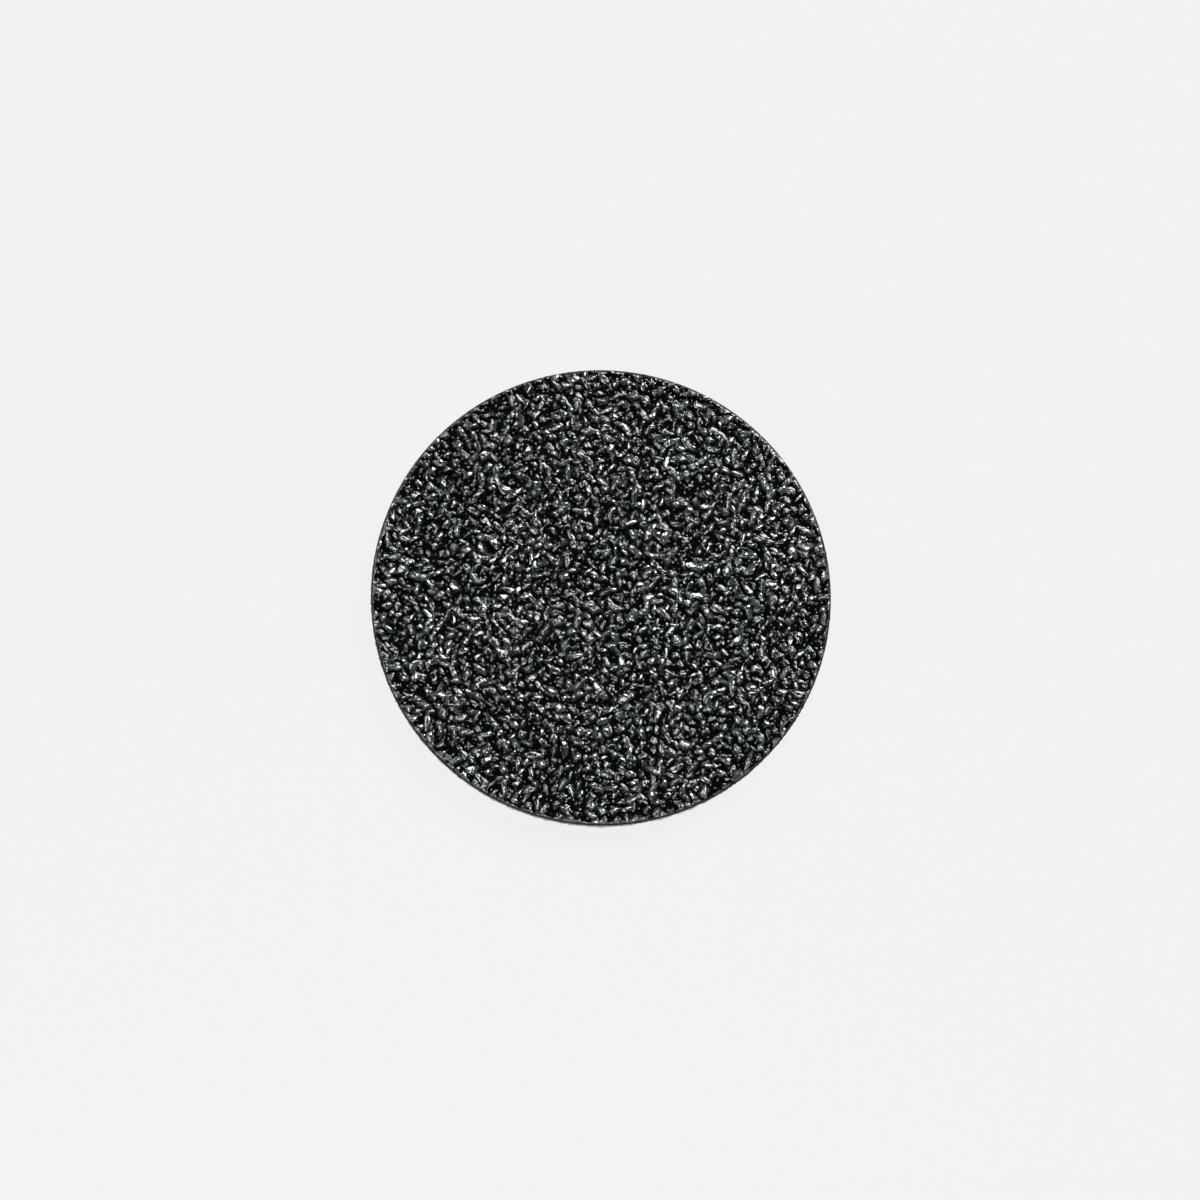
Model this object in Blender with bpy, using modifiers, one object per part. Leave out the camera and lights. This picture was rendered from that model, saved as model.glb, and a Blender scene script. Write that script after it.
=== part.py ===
"""Angle grinder carving disc: a 50 mm coated abrasive disc with a loop-fabric back.

The disc lies flat with its grit side up. The loop face is at Z = 0 and the disc's axis is the
Z axis. Each layer of the laminate is one object, stacked from the loops upwards: loop pile,
knitted ground, adhesive, back fill, cloth, front fill, make coat, grain and size coat.
"""
import math
import random

import bmesh
import bpy
from mathutils import Matrix

MM = 0.001
COLLECTION = "angle_grinder_carving_disc"

# Outline. One die punches all the layers, so they share one diameter.
DISC_DIAMETER = 50.0 * MM

# Loop fabric and its adhesive
LOOP_PILE_HEIGHT = 1.10 * MM
LOOP_PILE_ROUND = 0.35 * MM
GROUND_KNIT_THICKNESS = 0.30 * MM
ADHESIVE_THICKNESS = 0.12 * MM

# Cloth and its two fillings
BACK_FILL_THICKNESS = 0.06 * MM
CLOTH_THICKNESS = 0.56 * MM
CLOTH_ROUND = 0.05 * MM
FRONT_FILL_THICKNESS = 0.06 * MM

# Resin and grain
MAKE_COAT_THICKNESS = 0.20 * MM
GRAIN_BED_THICKNESS = 0.20 * MM
GRAIN_TIP_HEIGHT = 0.70 * MM
SIZE_COAT_THICKNESS = 0.12 * MM

# The layers are bonded face to face. This gap only keeps two meshes from sharing a face.
BOND_GAP = 0.02 * MM

# Relief of the grit. Its tips stand further apart than real grain does, to keep it light.
TIP_SPACING = 1.96 * MM
LOWEST_TIP = 0.58         # as a share of the tip height
HIGHEST_VALLEY = 0.26     # as a share of the tip height
SCATTER = 0.20            # sideways, as a share of the lattice pitch
GRIT_SEED = 24

# Every third point of the lattice is a tip, which puts the tips sqrt(3) pitches apart.
RADIUS = DISC_DIAMETER / 2
LATTICE_PITCH = TIP_SPACING / math.sqrt(3)
RINGS = round(RADIUS / LATTICE_PITCH)
RIM_SEGMENTS = 6 * RINGS
SECTOR = math.radians(60)


def clear_scene():
    """Remove every object, so that the script can be run again in an open file."""
    for old in list(bpy.data.objects):
        bpy.data.objects.remove(old, do_unlink=True)


def make_centre():
    """Make the disc's collection and the empty on its axis that carries every layer."""
    collection = bpy.data.collections.new(COLLECTION)
    bpy.context.scene.collection.children.link(collection)
    centre = bpy.data.objects.new("disc_centre", None)
    centre.empty_display_size = RADIUS
    collection.objects.link(centre)
    return centre


def make_material(name, colour, roughness, metallic=0.0):
    """Make a Principled BSDF material."""
    material = bpy.data.materials.new(name)
    material.use_nodes = True
    shader = material.node_tree.nodes["Principled BSDF"]
    shader.inputs["Base Color"].default_value = (*colour, 1.0)
    shader.inputs["Roughness"].default_value = roughness
    shader.inputs["Metallic"].default_value = metallic
    return material


def add_layer(name, bm, level, material, centre):
    """Turn a bmesh into the object of one layer, at its level on the disc's axis."""
    mesh = bpy.data.meshes.new(name)
    bm.to_mesh(mesh)
    bm.free()
    mesh.materials.append(material)
    layer = bpy.data.objects.new(name, mesh)
    layer.location.z = level
    layer.parent = centre
    centre.users_collection[0].objects.link(layer)
    return layer


# Plain layers


def add_plate(name, thickness, level, material, centre):
    """Add a flat round layer whose underside is at the level given."""
    bm = bmesh.new()
    bmesh.ops.create_cone(
        bm,
        cap_ends=True,
        segments=RIM_SEGMENTS,
        radius1=RADIUS,
        radius2=RADIUS,
        depth=thickness,
        matrix=Matrix.Translation((0, 0, thickness / 2)),
    )
    plate = add_layer(name, bm, level, material, centre)
    plate.data.shade_smooth()
    plate.data.set_sharp_from_angle(angle=math.radians(30))
    return plate


def round_rims(plate, width, segments):
    """Round the upper and the lower rim of a plate."""
    bevel = plate.modifiers.new("rim_round", "BEVEL")
    bevel.width = width
    bevel.segments = segments
    bevel.limit_method = "ANGLE"
    bevel.angle_limit = math.radians(60)


def add_loop_pile(level, centre):
    """Add the mat of raised nylon loops that a hook pad grips."""
    nylon = make_material("loop_nylon", (0.62, 0.60, 0.55), roughness=0.9)
    pile = add_plate("loop_pile", LOOP_PILE_HEIGHT, level, nylon, centre)
    round_rims(pile, LOOP_PILE_ROUND, segments=2)
    return level + LOOP_PILE_HEIGHT + BOND_GAP


def add_ground_knit(level, centre):
    """Add the knitted ground that holds the loops by their feet."""
    knit = make_material("ground_nylon", (0.50, 0.49, 0.46), roughness=0.85)
    add_plate("loop_ground_knit", GROUND_KNIT_THICKNESS, level, knit, centre)
    return level + GROUND_KNIT_THICKNESS + BOND_GAP


def add_adhesive(level, centre):
    """Add the film that bonds the loop fabric to the cloth."""
    film = make_material("laminating_film", (0.55, 0.45, 0.28), roughness=0.35)
    add_plate("laminating_adhesive", ADHESIVE_THICKNESS, level, film, centre)
    return level + ADHESIVE_THICKNESS + BOND_GAP


def add_back_fill(level, centre):
    """Add the filling that stiffens the back of the cloth."""
    fill = make_material("back_filling", (0.16, 0.13, 0.11), roughness=0.6)
    add_plate("back_fill", BACK_FILL_THICKNESS, level, fill, centre)
    return level + BACK_FILL_THICKNESS + BOND_GAP


def add_cloth(level, centre):
    """Add the heavy woven cloth that carries the load."""
    cotton = make_material("backing_cotton", (0.10, 0.085, 0.075), roughness=0.85)
    cloth = add_plate("backing_cloth", CLOTH_THICKNESS, level, cotton, centre)
    round_rims(cloth, CLOTH_ROUND, segments=1)
    return level + CLOTH_THICKNESS + BOND_GAP


def add_front_fill(level, centre):
    """Add the filling that closes the weave under the resin."""
    fill = make_material("front_filling", (0.12, 0.10, 0.09), roughness=0.6)
    add_plate("front_fill", FRONT_FILL_THICKNESS, level, fill, centre)
    return level + FRONT_FILL_THICKNESS + BOND_GAP


def add_make_coat(level, centre):
    """Add the first resin coat, which the grains are set into."""
    resin = make_material("make_resin", (0.06, 0.04, 0.03), roughness=0.3)
    add_plate("make_coat", MAKE_COAT_THICKNESS, level, resin, centre)
    return level + MAKE_COAT_THICKNESS + BOND_GAP


# Grit: the grain and the size coat that follows it


def lattice_cell(point):
    """Whole-number coordinates of a point of the unit hexagon's triangular lattice."""
    along = round((point.x - point.y / math.sqrt(3)) * RINGS)
    across = round(2 * point.y / math.sqrt(3) * RINGS)
    return along, across


def lattice_ring(cell):
    """Ring of the hexagon that a cell lies on, counted from 0 at the centre."""
    along, across = cell
    return max(abs(along), abs(across), abs(along + across))


def cell_chance(cell, use):
    """Random numbers that belong to one cell and one use of them."""
    along, across = cell
    return random.Random(f"{GRIT_SEED} {use} {along} {across}")


def grain_height(cell):
    """Height of the grit over its bed: a grain's tip, or the valley between grains."""
    along, across = cell
    share = cell_chance(cell, "height").random()
    if (along - across) % 3 == 0:
        return GRAIN_TIP_HEIGHT * (LOWEST_TIP + (1 - LOWEST_TIP) * share)
    return GRAIN_TIP_HEIGHT * HIGHEST_VALLEY * share


def disc_place(point, cell):
    """Place on the disc of a point of the hexagon, whose rings become circles."""
    ring = lattice_ring(cell)
    x = 0.0
    y = 0.0
    if ring > 0:
        sector, turn = divmod(math.atan2(point.y, point.x) % math.tau, SECTOR)
        share = math.sin(turn) / (math.sin(turn) + math.sin(SECTOR - turn))
        angle = (sector + share) * SECTOR
        x = RADIUS * ring / RINGS * math.cos(angle)
        y = RADIUS * ring / RINGS * math.sin(angle)
    if ring < RINGS:
        chance = cell_chance(cell, "scatter")
        x += chance.uniform(-SCATTER, SCATTER) * LATTICE_PITCH
        y += chance.uniform(-SCATTER, SCATTER) * LATTICE_PITCH
    return x, y


def make_grit_body(lower_height, upper_height):
    """Make a round closed body between two heights, each a function of the lattice cell."""
    bm = bmesh.new()
    bmesh.ops.create_circle(
        bm,
        cap_ends=True,
        cap_tris=True,
        segments=6,
        radius=1.0,
        matrix=Matrix.Rotation(math.radians(90), 4, "Z"),
    )
    bmesh.ops.subdivide_edges(bm, edges=bm.edges, cuts=RINGS - 1, use_grid_fill=True)
    raised = bmesh.ops.extrude_face_region(bm, geom=bm.faces)
    upper = {item for item in raised["geom"] if isinstance(item, bmesh.types.BMVert)}
    for vert in bm.verts:
        cell = lattice_cell(vert.co)
        height = upper_height if vert in upper else lower_height
        vert.co = (*disc_place(vert.co, cell), height(cell))
    bmesh.ops.recalc_face_normals(bm, faces=bm.faces)
    return bm


def add_grain_layer(level, centre):
    """Add the coat of silicon-carbide grain: a flat bed under a relief of tips."""

    def bed(cell):
        return 0.0

    def tips(cell):
        return GRAIN_BED_THICKNESS + grain_height(cell)

    carbide = make_material("silicon_carbide", (0.02, 0.021, 0.021), roughness=0.25)
    add_layer("grain_layer", make_grit_body(bed, tips), level, carbide, centre)
    return level + GRAIN_BED_THICKNESS + BOND_GAP


def add_size_coat(level, centre):
    """Add the glossy resin skin that follows the grain and locks it."""

    def upper_skin(cell):
        return grain_height(cell) + SIZE_COAT_THICKNESS

    resin = make_material("size_resin", (0.035, 0.037, 0.036), roughness=0.15)
    add_layer("size_coat", make_grit_body(grain_height, upper_skin), level, resin, centre)
    return level + GRAIN_TIP_HEIGHT + SIZE_COAT_THICKNESS


def main():
    """Stack the layers from the loop face up."""
    clear_scene()
    centre = make_centre()
    level = 0.0
    level = add_loop_pile(level, centre)
    level = add_ground_knit(level, centre)
    level = add_adhesive(level, centre)
    level = add_back_fill(level, centre)
    level = add_cloth(level, centre)
    level = add_front_fill(level, centre)
    level = add_make_coat(level, centre)
    level = add_grain_layer(level, centre)
    level = add_size_coat(level, centre)
    print(f"disc: {DISC_DIAMETER / MM:.1f} mm across, up to {level / MM:.2f} mm high")


main()
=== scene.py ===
# %% [markdown]
# # A coarse carving disc, layer by layer
#
# This notebook finishes a 50 mm carving disc for an angle grinder. The disc is a laminate:
# crushed silicon-carbide grain locked in glossy resin, a heavy woven cloth under it, and a loop
# fabric on the back that presses onto a hook pad. A measured solid of every layer is already
# there, so each cell takes its sizes from those solids and only adds what they lack: real
# grains, resin that climbs up them, cut yarn ends and thousands of nylon loops.

# %% Load the measured layers
import math
import random

import bmesh
import bpy
from mathutils import Matrix, Vector


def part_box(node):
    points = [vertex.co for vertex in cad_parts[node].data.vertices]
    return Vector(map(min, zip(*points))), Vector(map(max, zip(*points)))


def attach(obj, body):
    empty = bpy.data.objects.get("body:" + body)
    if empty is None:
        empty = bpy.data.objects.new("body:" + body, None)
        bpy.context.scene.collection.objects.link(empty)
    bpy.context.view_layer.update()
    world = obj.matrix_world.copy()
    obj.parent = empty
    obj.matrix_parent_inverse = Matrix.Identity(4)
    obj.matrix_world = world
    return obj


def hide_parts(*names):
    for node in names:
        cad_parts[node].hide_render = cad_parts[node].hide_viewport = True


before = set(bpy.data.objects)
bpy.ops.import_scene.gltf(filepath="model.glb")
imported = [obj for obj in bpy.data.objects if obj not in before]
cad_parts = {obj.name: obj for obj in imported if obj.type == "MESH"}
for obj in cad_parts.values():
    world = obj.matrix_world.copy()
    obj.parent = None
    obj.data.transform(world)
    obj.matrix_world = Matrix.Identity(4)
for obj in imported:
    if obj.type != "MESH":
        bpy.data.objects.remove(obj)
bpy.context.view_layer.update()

MM = 0.001
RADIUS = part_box("backing_cloth")[1].x
LOOP_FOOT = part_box("loop_ground_knit")[0].z
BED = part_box("make_coat")[1].z
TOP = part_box("size_coat")[1].z
scene = bpy.context.scene

print(f"disc radius {RADIUS / MM:.1f} mm, grain bed at {BED / MM:.2f} mm, top at {TOP / MM:.2f} mm")

# %% [markdown]
# ## Camera
#
# A flat disc is best shown from almost straight above, with just enough tilt to catch its edge.
# A long lens keeps the outline round. The camera's axes are worked out from the tilt instead of
# being tracked to a target, because tracking turns the picture when it looks nearly straight
# down.

# %% Place the camera
CAMERA_TILT = math.radians(8.5)
TILT_TOWARDS = Vector((-0.21, -0.98, 0.0)).normalized()
PICTURE_WIDTH = 130.35 * MM
PICTURE_CENTRE = Vector((-0.15, -0.49, 0.0)) * MM
LENS = 100.0
SEEN_FROM = 0.01
SEEN_TO = 50.0

camera_data = bpy.data.cameras.new("bench_camera")
camera_data.lens = LENS
camera_data.clip_start = SEEN_FROM
camera_data.clip_end = SEEN_TO
camera = bpy.data.objects.new("bench_camera", camera_data)
scene.collection.objects.link(camera)
scene.camera = camera

distance = PICTURE_WIDTH * LENS / camera_data.sensor_width
backwards = TILT_TOWARDS * math.sin(CAMERA_TILT) + Vector((0, 0, math.cos(CAMERA_TILT)))
right = Vector((0, 1, 0)).cross(backwards).normalized()
up = backwards.cross(right)
aim = Vector((0, 0, BED)) + PICTURE_CENTRE
place = aim + backwards * distance
camera.matrix_world = Matrix.Translation(place) @ Matrix((right, up, backwards)).transposed().to_4x4()

print(f"camera {distance / MM:.0f} mm away, tilted {math.degrees(CAMERA_TILT):.1f} degrees")

# %% [markdown]
# ## Floor and light
#
# Small black goods are often shown on a light table, whose own glow washes their shadow out. A
# floor that glows a lot and reflects a little does the same. The room has pale walls and a dark
# ceiling, so flat tops stay dark while flanks lighten. The largest soft box stands to the upper
# right: its reflection draws a bright arc on the shoulder of every grain. A small one near the
# lower edge and a weak one on the left keep the other flanks readable.

# %% Lay the floor
FLOOR_SIZE = 12.0
FLOOR_DROP = 0.02 * MM
FLOOR_GLOW = 0.835
FLOOR_BOARD = 0.03


def new_material(name):
    """An empty node material, with its nodes, its links and its output."""
    material = bpy.data.materials.new(name)
    material.use_nodes = True
    nodes = material.node_tree.nodes
    nodes.clear()
    output = nodes.new("ShaderNodeOutputMaterial")
    return material, nodes, material.node_tree.links, output


def paint_light_table():
    """Pale board that glows and still takes a faint shadow."""
    material, nodes, links, output = new_material("light_table")
    glow = nodes.new("ShaderNodeEmission")
    glow.inputs["Strength"].default_value = FLOOR_GLOW
    board = nodes.new("ShaderNodeBsdfDiffuse")
    board.inputs["Color"].default_value = (FLOOR_BOARD, FLOOR_BOARD, FLOOR_BOARD, 1.0)
    both = nodes.new("ShaderNodeAddShader")
    links.new(glow.outputs[0], both.inputs[0])
    links.new(board.outputs[0], both.inputs[1])
    links.new(both.outputs[0], output.inputs["Surface"])
    return material


def lay_floor():
    """A wide pale floor just under the loops."""
    bm = bmesh.new()
    bmesh.ops.create_grid(bm, x_segments=1, y_segments=1, size=FLOOR_SIZE / 2)
    mesh = bpy.data.meshes.new("light_table")
    bm.to_mesh(mesh)
    bm.free()
    mesh.transform(Matrix.Translation((0, 0, -FLOOR_DROP)))
    mesh.materials.append(paint_light_table())
    floor = bpy.data.objects.new("light_table", mesh)
    scene.collection.objects.link(floor)


lay_floor()
print(f"floor {FLOOR_SIZE:.0f} m wide, {FLOOR_DROP / MM:.2f} mm under the loops")

# %% Hang the soft boxes
LAMP_COLOUR = (0.97, 1.0, 0.99)


def hang_soft_box(name, azimuth, elevation, away, width, height, power):
    """A rectangular lamp that looks at the disc. Azimuth counts from +X towards +Y."""
    lamp = bpy.data.lights.new(name, "AREA")
    lamp.shape = "RECTANGLE"
    lamp.size = width
    lamp.size_y = height
    lamp.energy = power
    lamp.color = LAMP_COLOUR
    box = bpy.data.objects.new(name, lamp)
    scene.collection.objects.link(box)
    flat = math.cos(math.radians(elevation))
    ray = Vector((
        flat * math.cos(math.radians(azimuth)),
        flat * math.sin(math.radians(azimuth)),
        math.sin(math.radians(elevation)),
    ))
    box.location = ray * away
    box.rotation_mode = "QUATERNION"
    box.rotation_quaternion = ray.to_track_quat("Z", "Y")
    box.visible_camera = False
    print(f"{name}: {power} W, {away} m away, {elevation} degrees up")


hang_soft_box("key_box", azimuth=55, elevation=42, away=1.2, width=0.90, height=0.50, power=27.5)
hang_soft_box("fill_box", azimuth=-105, elevation=45, away=0.32, width=0.20, height=0.10, power=0.65)
hang_soft_box("side_box", azimuth=160, elevation=35, away=1.2, width=0.80, height=0.40, power=6.0)

# %% Build the room
CEILING_LIGHT = 0.012
CEILING_FROM = 0.60
WALL_LIGHT = 0.33
WALL_UP_TO = 0.10
WALL_COLOUR = (0.93, 1.0, 0.98, 1.0)
BACKDROP = 0.90


def build_room():
    """Light from pale walls, falling off to a dark ceiling, and a plain backdrop to look at."""
    room = bpy.data.worlds.new("white_room")
    room.use_nodes = True
    nodes = room.node_tree.nodes
    links = room.node_tree.links
    direction = nodes.new("ShaderNodeTexCoord")
    height = nodes.new("ShaderNodeSeparateXYZ")
    links.new(direction.outputs["Generated"], height.inputs[0])
    fade = nodes.new("ShaderNodeMapRange")
    fade.inputs["From Min"].default_value = WALL_UP_TO
    fade.inputs["From Max"].default_value = CEILING_FROM
    fade.inputs["To Min"].default_value = WALL_LIGHT
    fade.inputs["To Max"].default_value = CEILING_LIGHT
    links.new(height.outputs["Z"], fade.inputs["Value"])
    background = nodes["Background"]
    background.inputs["Color"].default_value = WALL_COLOUR
    links.new(fade.outputs["Result"], background.inputs["Strength"])
    backdrop = nodes.new("ShaderNodeBackground")
    backdrop.inputs["Strength"].default_value = BACKDROP
    seen = nodes.new("ShaderNodeLightPath")
    room_or_backdrop = nodes.new("ShaderNodeMixShader")
    links.new(seen.outputs["Is Camera Ray"], room_or_backdrop.inputs["Fac"])
    links.new(background.outputs[0], room_or_backdrop.inputs[1])
    links.new(backdrop.outputs[0], room_or_backdrop.inputs[2])
    links.new(room_or_backdrop.outputs[0], nodes["World Output"].inputs["Surface"])
    scene.world = room


build_room()
scene.view_settings.view_transform = "Standard"
print(f"walls give {WALL_LIGHT}, the ceiling {CEILING_LIGHT}, and the backdrop shows as {BACKDROP}")

# %% [markdown]
# ## Chipping the grain
#
# Silicon carbide is crushed, so its grains are long splinters with flat breaks and sharp
# ridges. A convex hull round a few random points gives exactly such a splinter. Once it is wet
# with resin its ridges are rounded over, and a bevel does that: its strip of faces is what
# catches the light. Fourteen splinters, turned and scaled at random, are enough that no two
# grains look alike. The fine grain is too small for ridges, so its chips stay plain hulls.

# %% Make the trays of splinters and chips
SPLINTERS = 14
SPLINTER_CORNERS = 11
SPLINTER_BEVEL = 0.10
CHIPS = 8
CHIP_CORNERS = 9
HALF_LENGTH = (0.55, 0.85)
HALF_WIDTH = (0.30, 0.42)
HALF_HEIGHT = (0.34, 0.46)
CORNER_REACH = (0.9, 1.0)


def chip_grain(name, number, corners, bevel):
    """One crushed grain, a unit long or more. A bevel, if there is one, rounds its ridges over."""
    chance = random.Random(f"{name} {number}")
    stretch = Vector((
        chance.uniform(*HALF_LENGTH),
        chance.uniform(*HALF_WIDTH),
        chance.uniform(*HALF_HEIGHT),
    ))
    bm = bmesh.new()
    for _ in range(corners):
        way = Vector((chance.gauss(0, 1), chance.gauss(0, 1), chance.gauss(0, 1))).normalized()
        bm.verts.new(way * stretch * chance.uniform(*CORNER_REACH))
    hull = bmesh.ops.convex_hull(bm, input=bm.verts)
    spare = [item for item in hull["geom_interior"] if isinstance(item, bmesh.types.BMVert)]
    bmesh.ops.delete(bm, geom=spare, context="VERTS")
    if bevel > 0:
        bmesh.ops.bevel(
            bm, geom=bm.edges, offset=bevel, segments=1, affect="EDGES", clamp_overlap=True,
        )
    bmesh.ops.recalc_face_normals(bm, faces=bm.faces)
    mesh = bpy.data.meshes.new(f"{name}_{number:02d}")
    bm.to_mesh(mesh)
    bm.free()
    mesh.shade_smooth()
    return bpy.data.objects.new(mesh.name, mesh)


def fill_tray(name, pieces):
    """A collection of shapes that the scene itself doesn't show."""
    tray = bpy.data.collections.new(name)
    for piece in pieces:
        tray.objects.link(piece)
    faces = [len(piece.data.polygons) for piece in pieces]
    print(f"{name}: {len(pieces)} shapes, {min(faces)} to {max(faces)} faces each")
    return tray


splinter_tray = fill_tray(
    "splinter_tray",
    [chip_grain("splinter", n, SPLINTER_CORNERS, SPLINTER_BEVEL) for n in range(SPLINTERS)],
)
chip_tray = fill_tray(
    "chip_tray",
    [chip_grain("chip", n, CHIP_CORNERS, 0.0) for n in range(CHIPS)],
)

# %% [markdown]
# ## Small tools for node trees
#
# Geometry Nodes lay out everything that repeats on the disc. A tree is easier to read when its
# plumbing is short, so one helper starts a tree, one adds a node, one joins numbers, and one runs
# a finished tree on a carrier mesh and keeps the plain mesh that comes out.

# %% Helpers for the trees
SOCKETS = {
    "float": "NodeSocketFloat",
    "int": "NodeSocketInt",
    "collection": "NodeSocketCollection",
    "object": "NodeSocketObject",
    "material": "NodeSocketMaterial",
}


def new_tree(name, inputs):
    """A geometry tree with a mesh in, a mesh out and the named inputs."""
    tree = bpy.data.node_groups.new(name, "GeometryNodeTree")
    tree.interface.new_socket("Mesh", in_out="INPUT", socket_type="NodeSocketGeometry")
    for label, kind in inputs.items():
        tree.interface.new_socket(label, in_out="INPUT", socket_type=SOCKETS[kind])
    tree.interface.new_socket("Mesh", in_out="OUTPUT", socket_type="NodeSocketGeometry")
    return tree, tree.nodes.new("NodeGroupInput").outputs, tree.nodes.new("NodeGroupOutput").inputs


def add_node(tree, kind, links=None, **settings):
    """Add a node, set its options and feed its inputs from sockets or plain values."""
    node = tree.nodes.new(kind)
    for option, value in settings.items():
        setattr(node, option, value)
    for label, source in (links or {}).items():
        socket = node.inputs[label]
        if isinstance(source, bpy.types.NodeSocket):
            tree.links.new(source, socket)
        else:
            socket.default_value = source
    return node


def reckon(tree, operation, first, second=0.0):
    """The result of one sum on two numbers or sockets."""
    return add_node(tree, "ShaderNodeMath", {0: first, 1: second}, operation=operation).outputs[0]


def grow(name, carrier, tree, values):
    """Run a tree on a carrier mesh, and return the result as a plain mesh object."""
    holder = bpy.data.objects.new(name, carrier)
    scene.collection.objects.link(holder)
    modifier = holder.modifiers.new(tree.name, "NODES")
    modifier.node_group = tree
    for socket in tree.interface.items_tree:
        if socket.in_out == "INPUT" and socket.name in values:
            modifier[socket.identifier] = values[socket.name]
    ready = holder.evaluated_get(bpy.context.evaluated_depsgraph_get())
    mesh = bpy.data.meshes.new_from_object(ready)
    holder.modifiers.remove(modifier)
    holder.data = mesh
    mesh.name = name
    triangles = sum(len(face.vertices) - 2 for face in mesh.polygons)
    print(f"{name}: {triangles} triangles")
    return holder


print("a tree takes", ", ".join(SOCKETS))

# %% [markdown]
# ## Sowing the grain
#
# A real disc is coated electrostatically: charged grains leap onto wet resin and stand there,
# close but not in rows. Poisson points do the same on a round sheet, because they keep a least
# distance from each other. The tree tries four points for every square of that distance, so that
# no room is left bare. One lucky number per point is the sieve: it decides the grain's size,
# small more often than large, and which piece it belongs to. A punch then cuts the disc out and
# breaks every grain that stands over the line, so the tree pulls such points back onto a rim
# that noise makes ragged.

# %% Chance, size and the broken rim
BREAK_SIZE = 0.20 * MM


def random_number(tree, given, use):
    """A number from 0 to 1 for each point. Each use has its own."""
    seed = reckon(tree, "ADD", given["Seed"], float(use))
    return add_node(tree, "FunctionNodeRandomValue", {"Seed": seed}, data_type="FLOAT").outputs[1]


def compare(tree, operation, first, second):
    """Whether one number stands so to another."""
    return add_node(tree, "FunctionNodeCompare", {0: first, 1: second}, operation=operation).outputs[0]


def random_turn(tree, given):
    """Any turn about the upright, and up to the tilt about the other two axes."""
    back = reckon(tree, "MULTIPLY", given["Tilt"], -1.0)
    least = add_node(tree, "ShaderNodeCombineXYZ", {"X": back, "Y": back})
    most = add_node(tree, "ShaderNodeCombineXYZ", {
        "X": given["Tilt"],
        "Y": given["Tilt"],
        "Z": math.tau,
    })
    return add_node(tree, "FunctionNodeRandomValue", {
        0: least.outputs[0],
        1: most.outputs[0],
        "Seed": reckon(tree, "ADD", given["Seed"], 2.0),
    }, data_type="FLOAT_VECTOR").outputs[0]


def shear_to_rim(tree, given):
    """A point's place, pulled back to the ragged rim and kept between two heights."""
    here = add_node(tree, "GeometryNodeInputPosition")
    x, y, z = add_node(tree, "ShaderNodeSeparateXYZ", {0: here.outputs[0]}).outputs
    squares = reckon(tree, "ADD", reckon(tree, "MULTIPLY", x, x), reckon(tree, "MULTIPLY", y, y))
    noise = add_node(tree, "ShaderNodeTexNoise", {"Scale": 1.0 / BREAK_SIZE, "Detail": 1.0})
    broken = reckon(tree, "MULTIPLY", given["Ragged"], noise.outputs[0])
    edge = reckon(tree, "SUBTRACT", given["Rim"], broken)
    reach = reckon(tree, "DIVIDE", edge, reckon(tree, "SQRT", squares))
    pull = reckon(tree, "MINIMUM", 1.0, reach)
    height = reckon(tree, "MINIMUM", reckon(tree, "MAXIMUM", z, given["Lowest"]), given["Highest"])
    kept = add_node(tree, "ShaderNodeCombineXYZ", {
        "X": reckon(tree, "MULTIPLY", x, pull),
        "Y": reckon(tree, "MULTIPLY", y, pull),
        "Z": height,
    })
    return kept.outputs[0]


print(f"the rim is broken in steps of {BREAK_SIZE / MM:.2f} mm")

# %% Build the sowing tree
CROWDING = 4.0
SMALL_BIAS = 1.5


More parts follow.
